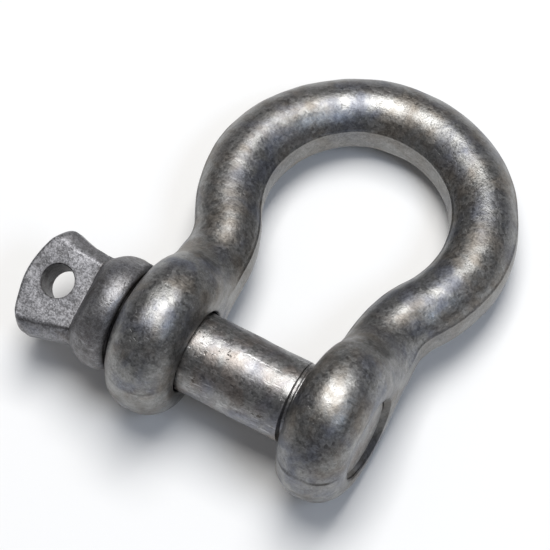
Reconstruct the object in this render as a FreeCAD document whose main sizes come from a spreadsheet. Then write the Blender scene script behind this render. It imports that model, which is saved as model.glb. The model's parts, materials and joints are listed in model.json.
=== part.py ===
import FreeCAD, Part
import math
import os

import Sketcher

# Bow shackle with a screw pin, nominal size 5/8 in: the forged bow, the forged screw pin, and the
# shoulder ring let into the bearing face of the pin's collar.
# Millimetres, +Z up. The pin's axis is X with its tab at -X, and the origin is the middle of the pin
# between the ears. The shackle lies down: both ears and the crown touch the plane z = -ear_radius.

# ---------------------------------------------------------------- driving dimensions (mm, degrees)
SIZES = {
    # bow
    "ear_gap": 27.0,              # clear width between the ears
    "ear_thickness": 16.4,
    "ear_radius": 18.6,
    "ear_round": 7.4,             # rounding of the ear's rim
    "bar_diameter": 16.2,
    "crown_radius": 29.3,         # centre line of the bar round the crown
    "crown_centre": 48.8,         # from the pin's axis to the centre of the crown
    "shoulder_bend": 20.0,        # centre line of the bend between ear and crown
    "bore_play": 0.4,             # radial play of the pin in the plain ear
    "bore_chamfer": 0.9,
    # screw thread
    "thread_pitch": 2.54,
    "thread_depth": 1.4,
    "thread_crest": 0.32,         # flat on top of the pin's thread
    "thread_play": 0.25,          # radial and axial play between the two threads
    "thread_showing": 3.34,       # thread that runs out into the gap beside the ear
    # pin
    "pin_diameter": 19.0,
    "pin_recess": 1.2,            # the pin's end below the ear's outer face
    "pin_chamfer": 0.9,
    "collar_overhang": 4.0,       # the collar's rim beyond the shank
    "collar_thickness": 8.0,
    "collar_round": 3.8,          # rounding of the collar's rim towards the tab
    "collar_edge": 1.4,           # rounding of the collar's rim towards the ear
    "collar_gap": 0.6,            # between the collar and the ear
    # shoulder ring
    "ring_width": 2.0,
    "ring_thickness": 2.4,
    "ring_play": 0.1,
    # tab head
    "tab_length": 17.6,
    "tab_thickness": 10.4,
    "tab_root_width": 21.0,
    "tab_end_width": 26.0,
    "tab_end_radius": 23.0,
    "tab_corner": 2.6,
    "tab_chamfer": 1.3,
    "tab_angle": 24.0,            # of the tab's plane from the plane of the bow
    "eye_diameter": 8.0,
    "eye_distance": 9.7,          # from the collar to the centre of the eye
}

FLANK = 30.0                      # half the angle of the thread's form, degrees
ROUND_SHARE = 0.46                # largest rounding of an ear's rim, as a share of its thickness
MARGIN = 1.0                      # how far a flat cut passes what has to sit on it
ROOT_LAP = 3.0                    # how far the tab's blank reaches into the collar

doc = FreeCAD.newDocument("bow_shackle")
sheet = doc.addObject("Spreadsheet::Sheet", "sizes")
for row, (alias, value) in enumerate(SIZES.items(), start=1):
    sheet.set(f"A{row}", alias)
    sheet.set(f"B{row}", str(value))
    sheet.setAlias(f"B{row}", alias)
doc.recompute()

# Places along the pin and sizes that follow from the sheet, as expressions on its cells
TAN_FLANK = f"tan({FLANK} deg)"
EAR_INNER = "sizes.ear_gap / 2"
EAR_MIDDLE = "(sizes.ear_gap + sizes.ear_thickness) / 2"
EAR_OUTER = "(sizes.ear_gap / 2 + sizes.ear_thickness)"
PIN_RADIUS = "sizes.pin_diameter / 2"
PIN_END = f"({EAR_OUTER} - sizes.pin_recess)"
COLLAR_FACE = f"({EAR_OUTER} + sizes.collar_gap)"
COLLAR_BACK = f"({COLLAR_FACE} + sizes.collar_thickness)"
COLLAR_RADIUS = f"({PIN_RADIUS} + sizes.collar_overhang)"
RING_INNER = f"({PIN_RADIUS} + sizes.ring_play)"
RING_RADIUS = f"({RING_INNER} + sizes.ring_width)"
BORE_RADIUS = f"({PIN_RADIUS} + sizes.bore_play)"
CUT_REACH = "sizes.bar_diameter / 2"
EAR_ROUND = f"min(sizes.ear_round; {ROUND_SHARE} * sizes.ear_thickness)"
TILT = "asin((sizes.ear_radius - sizes.bar_diameter / 2) / (sizes.crown_centre + sizes.crown_radius))"

# The bend's centre is level with BEND_Y, and the bend meets the crown's arc at (MEET_X, MEET_Y)
BEND_X = f"({EAR_MIDDLE} + sizes.shoulder_bend)"
REACH = "(sizes.crown_radius + sizes.shoulder_bend)"
BEND_Y = f"(sizes.crown_centre - sqrt({REACH} * {REACH} - {BEND_X} * {BEND_X}))"
MEET_X = f"({BEND_X} * sizes.crown_radius / {REACH})"
MEET_Y = f"(sizes.crown_centre - (sizes.crown_centre - {BEND_Y}) * sizes.crown_radius / {REACH})"
CROWN_TOP = "(sizes.crown_centre + sizes.crown_radius)"

# Thread: the pin's groove at its crest, and the ear's groove at its bore
CREST_GROOVE = "(sizes.thread_pitch - sizes.thread_crest)"
ROOT_GROOVE = f"({CREST_GROOVE} - 2 * sizes.thread_depth * {TAN_FLANK})"
PIN_ROOT = f"({PIN_RADIUS} - sizes.thread_depth)"
TAPPED_RADIUS = f"({PIN_ROOT} + sizes.thread_play)"
TAPPED_ROOT = f"({PIN_RADIUS} + sizes.thread_play)"
TAP_MOUTH = (f"(sizes.thread_crest + 2 * sizes.thread_play"
             f" + 2 * (sizes.thread_depth - sizes.thread_play) * {TAN_FLANK})")
TAP_ROOT = f"(sizes.thread_crest + 2 * sizes.thread_play - 2 * sizes.thread_play * {TAN_FLANK})"
THREAD_START = f"({EAR_INNER} - sizes.thread_showing + {CREST_GROOVE} / 2)"
TAP_START = f"({THREAD_START} - sizes.thread_pitch / 2)"

HORIZONTAL_AXIS = -1
START, END, CENTRE = 1, 2, 3


# ---------------------------------------------------------------- helpers
def number(expression):
    """What an expression on the sheet's cells gives now."""
    result = sheet.evalExpression(expression)
    return float(getattr(result, "Value", result))


def new_body(name):
    """A body whose label is the name of its node."""
    body = doc.addObject("PartDesign::Body", name)
    body.Label = name
    return body


def new_sketch(body, name, role):
    """A sketch on one of the body's own origin planes."""
    plane = next(item for item in body.Origin.OriginFeatures if item.Role == role)
    sketch = body.newObject("Sketcher::SketchObject", name)
    sketch.AttachmentSupport = (plane, "")
    sketch.MapMode = "FlatFace"
    return sketch


def dimension(sketch, kind, *where, to):
    """Adds a dimension to the sketch and ties it to an expression."""
    index = sketch.addConstraint(Sketcher.Constraint(kind, *where, number(to)))
    sketch.setExpression(f"Constraints[{index}]", to)


def pin_point(sketch, edge, end, x, y):
    """Ties a point of the sketch to a place given by two expressions."""
    dimension(sketch, "DistanceX", HORIZONTAL_AXIS, START, edge, end, to=x)
    dimension(sketch, "DistanceY", HORIZONTAL_AXIS, START, edge, end, to=y)


def outline(sketch, corners, closed=True):
    """Draws corners joined by edges. A corner is (x, y) when the edge that leaves it is straight, or
    (x, y, radius, side) when it is an arc of that radius whose centre lies to that side: 1 left, -1 right."""
    places = [FreeCAD.Vector(number(c[0]), number(c[1]), 0) for c in corners]
    count = len(corners) if closed else len(corners) - 1
    tips = []
    for i in range(count):
        here, there = places[i], places[(i + 1) % len(places)]
        if len(corners[i]) == 2:
            edge = sketch.addGeometry(Part.LineSegment(here, there))
            tips.append((edge, START, END))
            continue
        radius, side = number(corners[i][2]), corners[i][3]
        chord = there - here
        rise = math.sqrt(max(radius ** 2 - (chord.Length / 2) ** 2, 0.0))
        left = FreeCAD.Vector(-chord.y, chord.x, 0).normalize()
        centre = (here + there) * 0.5 + left * (rise * side)
        first, last = (here, there) if side > 0 else (there, here)
        angles = [math.atan2(p.y - centre.y, p.x - centre.x) for p in (first, last)]
        if angles[1] < angles[0]:
            angles[1] += 2 * math.pi
        circle = Part.Circle(centre, FreeCAD.Vector(0, 0, 1), radius)
        edge = sketch.addGeometry(Part.ArcOfCircle(circle, *angles))
        tips.append((edge, START, END) if side > 0 else (edge, END, START))
        dimension(sketch, "Radius", edge, to=corners[i][2])
    for i, (edge, first, last) in enumerate(tips):
        pin_point(sketch, edge, first, corners[i][0], corners[i][1])
        if i + 1 < count or closed:
            following = tips[(i + 1) % count]
            sketch.addConstraint(Sketcher.Constraint("Coincident", edge, last, following[0], following[1]))
        else:
            pin_point(sketch, edge, last, corners[-1][0], corners[-1][1])


def circle_at(sketch, x, y, radius):
    """Draws a circle whose centre and radius are given by expressions."""
    centre = FreeCAD.Vector(number(x), number(y), 0)
    edge = sketch.addGeometry(Part.Circle(centre, FreeCAD.Vector(0, 0, 1), number(radius)))
    pin_point(sketch, edge, CENTRE, x, y)
    dimension(sketch, "Radius", edge, to=radius)


def turned(body, kind, name, sketch):
    """A Revolution or Groove of the sketch, a full turn about the pin's axis."""
    feature = body.newObject(f"PartDesign::{kind}", name)
    feature.Profile = sketch
    feature.ReferenceAxis = (sketch, ["H_Axis"])
    feature.Angle = 360
    doc.recompute()
    return feature


def helical_cut(body, name, sketch, length):
    """A right-handed groove of the sketch's profile, wound along the pin's axis towards +X."""
    feature = body.newObject("PartDesign::SubtractiveHelix", name)
    feature.Profile = sketch
    feature.ReferenceAxis = (sketch, ["H_Axis"])
    feature.Mode = "pitch-height-angle"
    feature.setExpression("Pitch", "sizes.thread_pitch")
    feature.setExpression("Height", length)
    feature.Angle = 0
    feature.LeftHanded = False
    feature.Reversed = False
    doc.recompute()
    return feature


def lay_down(body):
    """Turns a body about the pin's axis, so that the ears and the crown rest on one plane."""
    body.Placement = FreeCAD.Placement(FreeCAD.Vector(), FreeCAD.Rotation(FreeCAD.Vector(-1, 0, 0), 1))
    body.setExpression("Placement.Rotation.Angle", TILT)


# ---------------------------------------------------------------- bow
def make_bow():
    """The bow: a round bar bent to the shape of an omega, with an ear forged on each end. The ear at
    -X has a plain bore and the ear at +X is tapped. Each bore is cut with its flared mouths, the jaw's
    flat side and a spot face for the collar in one turned cut."""
    body = new_body("bow")

    path = new_sketch(body, "bar_path", "XY_Plane")
    outline(path, [
        (EAR_MIDDLE, "0"),
        (EAR_MIDDLE, BEND_Y, "sizes.shoulder_bend", -1),
        (MEET_X, MEET_Y, "sizes.crown_radius", 1),
        ("0", CROWN_TOP, "sizes.crown_radius", 1),
        (f"-{MEET_X}", MEET_Y, "sizes.shoulder_bend", -1),
        (f"-{EAR_MIDDLE}", BEND_Y),
        (f"-{EAR_MIDDLE}", "0"),
    ], closed=False)
    section = new_sketch(body, "bar_section", "XZ_Plane")
    circle_at(section, EAR_MIDDLE, "0", "sizes.bar_diameter / 2")
    bar = body.newObject("PartDesign::AdditivePipe", "bar")
    bar.Profile = section
    bar.Spine = (path, [f"Edge{i + 1}" for i in range(path.GeometryCount)])
    bar.Mode = "Standard"
    bar.Transition = "Transformed"
    doc.recompute()

    for name, sign in (("plain_ear", "-"), ("tapped_ear", "")):
        sketch = new_sketch(body, f"{name}_profile", "XY_Plane")
        rim = f"(sizes.ear_radius - {EAR_ROUND})"
        inner, outer = f"{sign}{EAR_INNER}", f"{sign}{EAR_OUTER}"
        inner_round = f"{sign}({EAR_INNER} + {EAR_ROUND})"
        outer_round = f"{sign}({EAR_OUTER} - {EAR_ROUND})"
        side = 1 if sign else -1
        outline(sketch, [
            (inner, "0"),
            (inner, rim, EAR_ROUND, side),
            (inner_round, "sizes.ear_radius"),
            (outer_round, "sizes.ear_radius", EAR_ROUND, side),
            (outer, rim),
            (outer, "0"),
        ])
        turned(body, "Revolution", name, sketch)

    for name, sign, radius in (("plain_bore", "-", BORE_RADIUS), ("tapping_bore", "", TAPPED_RADIUS)):
        sketch = new_sketch(body, f"{name}_profile", "XY_Plane")
        mouth = BORE_RADIUS if sign else TAPPED_ROOT
        flare = f"({mouth} + sizes.bore_chamfer)"
        depth = f"({flare} - {radius})"
        spot = f"{COLLAR_RADIUS} + {MARGIN}"
        outline(sketch, [
            (f"{sign}({EAR_INNER} - {CUT_REACH})", "0"),
            (f"{sign}({EAR_INNER} - {CUT_REACH})", f"sizes.ear_radius + {MARGIN}"),
            (f"{sign}{EAR_INNER}", f"sizes.ear_radius + {MARGIN}"),
            (f"{sign}{EAR_INNER}", flare),
            (f"{sign}({EAR_INNER} + {depth})", radius),
            (f"{sign}({EAR_OUTER} - {depth})", radius),
            (f"{sign}{EAR_OUTER}", flare),
            (f"{sign}{EAR_OUTER}", spot),
            (f"{sign}({EAR_OUTER} + {CUT_REACH})", spot),
            (f"{sign}({EAR_OUTER} + {CUT_REACH})", "0"),
        ])
        turned(body, "Groove", name, sketch)

    sketch = new_sketch(body, "tap_profile", "XY_Plane")
    inside = f"({TAPPED_RADIUS} - sizes.thread_play)"
    outline(sketch, [
        (f"{TAP_START} - {TAP_MOUTH} / 2", inside),
        (f"{TAP_START} - {TAP_MOUTH} / 2", TAPPED_RADIUS),
        (f"{TAP_START} - {TAP_ROOT} / 2", TAPPED_ROOT),
        (f"{TAP_START} + {TAP_ROOT} / 2", TAPPED_ROOT),
        (f"{TAP_START} + {TAP_MOUTH} / 2", TAPPED_RADIUS),
        (f"{TAP_START} + {TAP_MOUTH} / 2", inside),
    ])
    helical_cut(body, "tapped_thread", sketch, "sizes.ear_thickness + 3 * sizes.thread_pitch")
    lay_down(body)
    return body


# ---------------------------------------------------------------- pin
def make_pin():
    """The screw pin: tab head with its eye, collar, plain shank and threaded end, one forging."""
    body = new_body("screw_pin")
    tab = new_sketch(body, "tab_outline", "XY_Plane")
    turn_sketch(tab)
    tab_end = f"-({COLLAR_BACK} + sizes.tab_length)"
    half_end = "sizes.tab_end_width / 2"
    sag = f"(sizes.tab_end_radius - sqrt(sizes.tab_end_radius ^ 2 - ({half_end}) ^ 2))"
    root = f"-({COLLAR_BACK} - {ROOT_LAP})"
    outline(tab, [
        (root, "sizes.tab_root_width / 2"),
        (f"-{COLLAR_BACK}", "sizes.tab_root_width / 2"),
        (f"{tab_end} + {sag}", half_end, "sizes.tab_end_radius", 1),
        (f"{tab_end} + {sag}", f"-{half_end}"),
        (f"-{COLLAR_BACK}", "-sizes.tab_root_width / 2"),
        (root, "-sizes.tab_root_width / 2"),
    ])
    pad = body.newObject("PartDesign::Pad", "tab")
    pad.Profile = tab
    pad.setExpression("Length", "sizes.tab_thickness")
    pad.Midplane = True
    doc.recompute()
    corners = body.newObject("PartDesign::Fillet", "tab_corners")
    corners.Base = (pad, tab_corner_edges(pad.Shape))
    corners.setExpression("Radius", "sizes.tab_corner")
    doc.recompute()
    rim = body.newObject("PartDesign::Chamfer", "tab_rim")
    rim.Base = (corners, tab_rim_edges(corners.Shape))
    rim.setExpression("Size", "sizes.tab_chamfer")
    doc.recompute()

    sketch = new_sketch(body, "turned_profile", "XY_Plane")
    seat_radius = f"({RING_RADIUS} + sizes.ring_play)"
    seat_floor = f"-({COLLAR_FACE} + sizes.ring_thickness + sizes.ring_play)"
    outline(sketch, [
        (f"-{COLLAR_BACK}", "0"),
        (f"-{COLLAR_BACK}", f"{COLLAR_RADIUS} - sizes.collar_round", "sizes.collar_round", -1),
        (f"-({COLLAR_BACK} - sizes.collar_round)", COLLAR_RADIUS),
        (f"-({COLLAR_FACE} + sizes.collar_edge)", COLLAR_RADIUS, "sizes.collar_edge", -1),
        (f"-{COLLAR_FACE}", f"{COLLAR_RADIUS} - sizes.collar_edge"),
        (f"-{COLLAR_FACE}", seat_radius),
        (seat_floor, seat_radius),
        (seat_floor, PIN_RADIUS),
        (f"{PIN_END} - sizes.pin_chamfer", PIN_RADIUS),
        (PIN_END, f"{PIN_RADIUS} - sizes.pin_chamfer"),
        (PIN_END, "0"),
    ])
    turned(body, "Revolution", "collar_and_shank", sketch)

    eye = new_sketch(body, "eye_outline", "XY_Plane")
    turn_sketch(eye)
    circle_at(eye, f"-({COLLAR_BACK} + sizes.eye_distance)", "0", "sizes.eye_diameter / 2")
    pocket = body.newObject("PartDesign::Pocket", "eye")
    pocket.Profile = eye
    pocket.Type = "ThroughAll"
    pocket.Midplane = True
    doc.recompute()

    groove = new_sketch(body, "thread_profile", "XY_Plane")
    outside = f"({PIN_RADIUS} + sizes.thread_play)"
    outline(groove, [
        (f"{THREAD_START} - {CREST_GROOVE} / 2", outside),
        (f"{THREAD_START} - {CREST_GROOVE} / 2", PIN_RADIUS),
        (f"{THREAD_START} - {ROOT_GROOVE} / 2", PIN_ROOT),
        (f"{THREAD_START} + {ROOT_GROOVE} / 2", PIN_ROOT),
        (f"{THREAD_START} + {CREST_GROOVE} / 2", PIN_RADIUS),
        (f"{THREAD_START} + {CREST_GROOVE} / 2", outside),
    ])
    helical_cut(body, "thread", groove, f"{PIN_END} - {THREAD_START} + sizes.thread_pitch")
    lay_down(body)
    return body


def turn_sketch(sketch):
    """Turns a sketch about the pin's axis to the tab's plane."""
    sketch.AttachmentOffset = FreeCAD.Placement(FreeCAD.Vector(), FreeCAD.Rotation(FreeCAD.Vector(1, 0, 0), 1))
    sketch.setExpression("AttachmentOffset.Rotation.Angle", "sizes.tab_angle")


def tab_normal():
    """The direction across the tab's faces, in the body's own frame."""
    angle = math.radians(number("sizes.tab_angle"))
    return FreeCAD.Vector(0, -math.sin(angle), math.cos(angle))


def tab_corner_edges(shape):
    """The corners of the tab's outer end: straight edges along its thickness."""
    middle = -number(COLLAR_BACK) - number("sizes.tab_length") / 2
    names = []
    for i, edge in enumerate(shape.Edges, start=1):
        if edge.CenterOfMass.x > middle or edge.Curve.TypeId != "Part::GeomLine":
            continue
        if abs(edge.Curve.Direction.dot(tab_normal())) > 0.999:
            names.append(f"Edge{i}")
    return names


def tab_rim_edges(shape):
    """The edges round the tab's two flat faces, but for the ones at its root."""
    half = number("sizes.tab_thickness") / 2
    root = shape.BoundBox.XMax
    names = []
    for i, edge in enumerate(shape.Edges, start=1):
        on_a_face = all(abs(abs(v.Point.dot(tab_normal())) - half) < 1e-6 for v in edge.Vertexes)
        along_face = abs(abs(edge.CenterOfMass.dot(tab_normal())) - half) < 1e-6
        if on_a_face and along_face and edge.CenterOfMass.x < root - 1e-3:
            names.append(f"Edge{i}")
    return names


# ---------------------------------------------------------------- shoulder ring
def make_ring():
    """The shoulder ring: a plain ring round the shank, seated in the collar's bearing face."""
    body = new_body("shoulder_ring")
    sketch = new_sketch(body, "ring_profile", "XY_Plane")
    seat_floor = f"-({COLLAR_FACE} + sizes.ring_thickness)"
    outline(sketch, [
        (seat_floor, RING_INNER),
        (seat_floor, RING_RADIUS),
        (f"-{COLLAR_FACE}", RING_RADIUS),
        (f"-{COLLAR_FACE}", RING_INNER),
    ])
    turned(body, "Revolution", "ring", sketch)
    lay_down(body)
    return body


# ---------------------------------------------------------------- build, check and write
nodes = [make_bow(), make_pin(), make_ring()]
doc.recompute()
for item in doc.Objects:
    if "Invalid" in item.State or "Error" in item.State:
        raise RuntimeError(f"{item.Name} failed: {item.State}")
for node in nodes:
    shape = node.Shape
    if shape.isNull() or not shape.isValid() or len(shape.Solids) != 1:
        raise RuntimeError(f"{node.Label} is not one valid solid")

os.makedirs("parts", exist_ok=True)
for node in nodes:
    node.Shape.exportStep(f"parts/{node.Label}.step")
    box = node.Shape.BoundBox
    print(f"{node.Label}: volume {node.Shape.Volume:.1f} mm3, box {box.XMin:.2f} {box.YMin:.2f} {box.ZMin:.2f}"
          f" to {box.XMax:.2f} {box.YMax:.2f} {box.ZMax:.2f}")
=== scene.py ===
"""Bow shackle with a screw pin, in hot-dip galvanised steel: skins, zinc, floor, light and camera."""
import json
import math

import bpy
import numpy as np
from mathutils import Matrix, Vector


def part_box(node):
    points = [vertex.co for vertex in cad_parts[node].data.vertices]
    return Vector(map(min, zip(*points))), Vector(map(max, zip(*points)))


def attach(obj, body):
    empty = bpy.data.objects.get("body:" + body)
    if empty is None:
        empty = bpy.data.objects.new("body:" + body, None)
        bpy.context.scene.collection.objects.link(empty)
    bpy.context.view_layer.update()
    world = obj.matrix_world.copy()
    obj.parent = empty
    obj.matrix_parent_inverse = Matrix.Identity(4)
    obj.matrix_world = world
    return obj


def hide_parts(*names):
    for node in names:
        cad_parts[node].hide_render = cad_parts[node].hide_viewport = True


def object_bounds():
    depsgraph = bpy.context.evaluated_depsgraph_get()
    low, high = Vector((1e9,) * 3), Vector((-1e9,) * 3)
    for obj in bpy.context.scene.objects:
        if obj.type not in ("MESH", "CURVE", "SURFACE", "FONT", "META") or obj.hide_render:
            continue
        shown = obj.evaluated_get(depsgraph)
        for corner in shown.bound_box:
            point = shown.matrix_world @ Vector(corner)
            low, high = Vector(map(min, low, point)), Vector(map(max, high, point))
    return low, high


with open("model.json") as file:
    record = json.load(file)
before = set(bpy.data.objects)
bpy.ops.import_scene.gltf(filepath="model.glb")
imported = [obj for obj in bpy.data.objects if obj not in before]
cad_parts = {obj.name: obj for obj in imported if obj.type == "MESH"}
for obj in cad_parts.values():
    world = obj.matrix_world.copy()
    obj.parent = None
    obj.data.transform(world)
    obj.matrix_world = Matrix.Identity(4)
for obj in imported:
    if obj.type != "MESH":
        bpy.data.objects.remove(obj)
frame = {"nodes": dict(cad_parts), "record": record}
cad_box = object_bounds()

# ---------------------------------------------------------------- sizes, in millimetres
MM = 0.001
INSIDE = 0.01                                        # how far every skin stays inside the CAD model's box
BOX_LOW, BOX_HIGH = (np.array(corner) / MM for corner in cad_box)
MOUNTS = {mount["name"]: mount for mount in frame["record"]["mounts"]}
BOW_LOW, BOW_HIGH = (np.array(corner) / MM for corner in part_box("bow"))
PIN_LOW, PIN_HIGH = (np.array(corner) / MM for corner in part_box("screw_pin"))
RING_LOW, RING_HIGH = (np.array(corner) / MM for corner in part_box("shoulder_ring"))

SADDLE = MOUNTS["crown_saddle"]
SADDLE_RADIUS = SADDLE["dims"]["r_mm"]
SADDLE_PLACE = np.array(SADDLE["pos_m"]) / MM
TILT = math.atan2(-SADDLE_PLACE[2], SADDLE_PLACE[1])  # the bow's plane from the floor
EAR_RADIUS = -BOW_LOW[2]
PIN_RADIUS = MOUNTS["pin_span"]["dims"]["r_mm"]
JAW = MOUNTS["pin_span"]["dims"]["length_mm"] / 2    # the inner face of each ear
COLLAR_FACE = RING_HIGH[0]
COLLAR_GAP = 0.6
EAR_BACK = -COLLAR_FACE - COLLAR_GAP                 # the outer face of each ear
EAR_HALF = (EAR_BACK - JAW) / 2
EAR_MIDDLE = (EAR_BACK + JAW) / 2
CROWN_RADIUS = (BOW_HIGH[0] + SADDLE_RADIUS) / 2
BAR_RADIUS = (BOW_HIGH[0] - SADDLE_RADIUS) / 2
CROWN_CENTRE = math.hypot(SADDLE_PLACE[1], SADDLE_PLACE[2]) - SADDLE_RADIUS
SHOULDER_BEND = 20.0
EAR_ROUND = 7.4
EAR_TRIM = 0.4                                       # the ears are a little short at their ends
TRIM_FADE = (-8.0, -15.0)                            # where the trim sets in along the limb
EAR_STRETCH = 1.12                                   # the ear is longer towards the crown
NECK_ROUND = 12.0                                    # concave, between the ear's rim and the bar
NECK_START = 6.0                                     # from here the ear's section turns into the bar's
FORGED_SINK = 0.06                                   # the bow's uneven skin lies this far in

BEND_X = EAR_MIDDLE + SHOULDER_BEND
BEND_Y = CROWN_CENTRE - math.sqrt((CROWN_RADIUS + SHOULDER_BEND) ** 2 - BEND_X ** 2)
BEND_TURN = math.atan2(CROWN_CENTRE - BEND_Y, BEND_X)  # how far the bar turns in the bend
NECK_Z = BAR_RADIUS + NECK_ROUND
NECK_Y = math.sqrt((EAR_RADIUS + NECK_ROUND) ** 2 - NECK_Z ** 2)

LAND_HALF = 3.0                                      # half the width of the trimmed flash land
LAND_RIDGE = 0.17                                    # the ridge along each edge of the land
LAND_FLAT = 0.2                                      # how far its middle is trimmed
LIMB_FADE = (14.0, 21.0)                             # where the land sets in on the limbs
RIM_FADE = (-3.0, -9.0)                              # and on the rims of the ears

PITCH = 2.54
THREAD_DEPTH = 1.4
CREST = 0.32                                         # flat on top of the pin's thread
THREAD_PLAY = 0.25
THREAD_SHOWING = 3.34                                # thread that runs out into the gap beside the ear
FLANK = math.tan(math.radians(30))
CREST_GROOVE = (PITCH - CREST) / 2                   # half the pin's groove, at its crest
THREAD_START = JAW - THREAD_SHOWING + CREST_GROOVE   # the middle of the pin's first groove
TAP_HALF = CREST / 2 + THREAD_PLAY + (THREAD_DEPTH - THREAD_PLAY) * FLANK
BORE_PLAY = 0.4
BORE_ROUND = 0.9
TAP_MOUTH = 0.4

SHANK_RADIUS = PIN_RADIUS - 0.02
SHANK_END = THREAD_START - 1.9                       # the last row of the plain shank
PIN_FACE = PIN_HIGH[0] - 0.02
PIN_CHAMFER = 0.9

COLLAR_THICKNESS = 8.0
COLLAR_BACK = COLLAR_FACE - COLLAR_THICKNESS
COLLAR_RADIUS = PIN_RADIUS + 4.0
COLLAR_CREST = COLLAR_FACE - 3.4                     # the widest place of the collar's bead
COLLAR_EDGE = 1.7                                    # how far the bead falls towards the ear
RING_PLAY = 0.1
SEAT_RADIUS = RING_HIGH[2] + RING_PLAY
SEAT_FLOOR = RING_LOW[0] - RING_PLAY

EYE = MOUNTS["pin_eye"]
EYE_X = EYE["pos_m"][0] / MM
EYE_RADIUS = EYE["dims"]["r_mm"]
EYE_ROUND = 0.45
ZINC_IN_EYE = 0.12                                   # the zinc narrows the eye a little
TAB_ANGLE = math.atan2(-EYE["axis"][1], EYE["axis"][2]) + TILT  # from the bow's plane
TAB_HALF = EYE["dims"]["length_mm"] / 2
TAB_END = PIN_LOW[0]
TAB_STEP = COLLAR_BACK - 2.3                         # where the flats end and the bead rises
BEAD_LENGTH = COLLAR_CREST - TAB_STEP
BEAD_FOOT = 8.0                                      # the bead's radius at the step
FACE_RISE = 9.5                                      # how far the faces beside the tab rise on the bead
TAB_INSET = 0.05                                     # the tab's end lies this far inside the box
TAB_ROOT_HALF = 10.8
TAB_END_HALF = 13.2
TAB_END_RADIUS = 23.0
TAB_END_SAG = TAB_END_RADIUS - math.sqrt(TAB_END_RADIUS ** 2 - TAB_END_HALF ** 2)
TAB_CORNER = 2.3                                     # rounding of the tab's outline
TAB_EDGE = 0.8                                       # rounding of the tab's outer end
TAB_BEVEL = 2.8                                      # crowned bevel along the tab's sides
PIN_SINK = 0.05                                      # the pin's uneven skin lies this far in
HEAD_SHIFT = -0.4                                    # tab and collar sit a little off the pin's axis
TAB_SHIFT = -0.6                                     # and the tab's outer end a little more


# ---------------------------------------------------------------- mesh helpers
def smooth(low, high, value):
    """0 below low, 1 above high, and 3t^2 - 2t^3 between them, t being the share of the way."""
    t = np.clip((value - low) / (high - low), 0, 1)
    return t * t * (3 - 2 * t)


def soft_max(a, b, width):
    """The larger of a and b, plus (width - |a - b|)^2 / 4 width where they are closer than width."""
    lap = np.maximum(width - np.abs(a - b), 0)
    return np.maximum(a, b) + lap * lap / (4 * np.maximum(width, 1e-9))


def lie_down(points):
    """Turns points from the bow's own plane to the floor: about X by the tilt of the bow."""
    x, y, z = np.moveaxis(points, -1, 0)
    c, s = math.cos(TILT), math.sin(TILT)
    return np.stack([x, y * c + z * s, z * c - y * s], -1)


def stand_up(points):
    """The other way round: from the floor's frame to the bow's own plane."""
    x, y, z = np.moveaxis(points, -1, 0)
    c, s = math.cos(TILT), math.sin(TILT)
    return np.stack([x, y * c - z * s, z * c + y * s], -1)


def unevenness(points, seed, waves, height):
    """A sum of sines of the place, each with a random direction, a random phase and a length from waves, and
    in proportion to its length. The sum is between -height and height."""
    random = np.random.default_rng(seed)
    total = np.zeros(points.shape[:-1])
    for length in waves:
        direction = random.normal(size=3)
        direction *= 2 * math.pi / (length * np.linalg.norm(direction))
        total += np.sin(points @ direction + random.uniform(0, 2 * math.pi)) * length
    return total * height / sum(waves)


def grid_normals(grid):
    """Unit normals of a grid whose columns wrap round: the cross product of its two differences."""
    along = np.gradient(grid, axis=0)
    around = np.roll(grid, -1, axis=1) - np.roll(grid, 1, axis=1)
    normal = np.cross(around, along)
    return normal / np.maximum(np.linalg.norm(normal, axis=-1, keepdims=True), 1e-12)


def skin(name, grid):
    """A closed mesh from rows of points round an axis: quads between the rows, and a fan to a pole, the
    middle of the row, at each end. Its faces are turned to make its volume positive."""
    rows, columns = grid.shape[:2]
    poles = grid[[0, -1]].mean(axis=1)
    points = np.concatenate([grid.reshape(-1, 3), poles])
    corner = np.arange(rows * columns).reshape(rows, columns)
    beside = np.roll(corner, -1, axis=1)
    quads = np.stack([corner[:-1], beside[:-1], beside[1:], corner[1:]], -1).reshape(-1, 4)
    first = np.stack([beside[0], corner[0], np.full(columns, rows * columns)], -1)
    last = np.stack([corner[-1], beside[-1], np.full(columns, rows * columns + 1)], -1)
    fans = np.concatenate([first, last])
    triangles = np.concatenate([quads[:, [0, 1, 2]], quads[:, [0, 2, 3]], fans])
    a, b, c = (points[triangles[:, i]] for i in range(3))
    if np.einsum("ij,ij->", a, np.cross(b, c)) < 0:
        quads, fans = quads[:, ::-1], fans[:, ::-1]
    mesh = bpy.data.meshes.new(name)
    mesh.from_pydata((points * MM).tolist(), [], quads.tolist() + fans.tolist())
    mesh.update()
    piece = bpy.data.objects.new(name, mesh)
    bpy.context.scene.collection.objects.link(piece)
    return piece


def cut(piece, *tools):
    """Takes the closed tools away from the closed piece and removes the tools. The exact solver takes over
    where the manifold one leaves the piece empty or uncut."""
    for tool in tools:
        before = len(piece.data.vertices)
        for solver in ("MANIFOLD", "EXACT"):
            modifier = piece.modifiers.new("cut", "BOOLEAN")
            modifier.operation, modifier.object, modifier.solver = "DIFFERENCE", tool, solver
            bpy.context.view_layer.update()
            evaluated = piece.evaluated_get(bpy.context.evaluated_depsgraph_get())
            mesh = bpy.data.meshes.new_from_object(evaluated)
            piece.modifiers.remove(modifier)
            if len(mesh.vertices) > before / 2 and len(mesh.vertices) != before:
                break
        name, old = piece.data.name, piece.data
        piece.data = mesh
        bpy.data.meshes.remove(old)
        mesh.name = name
        bpy.data.objects.remove(tool)


def places(piece):
    """The piece's vertices in millimetres."""
    found = np.zeros(len(piece.data.vertices) * 3)
    piece.data.vertices.foreach_get("co", found)
    return found.reshape(-1, 3) / MM


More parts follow.
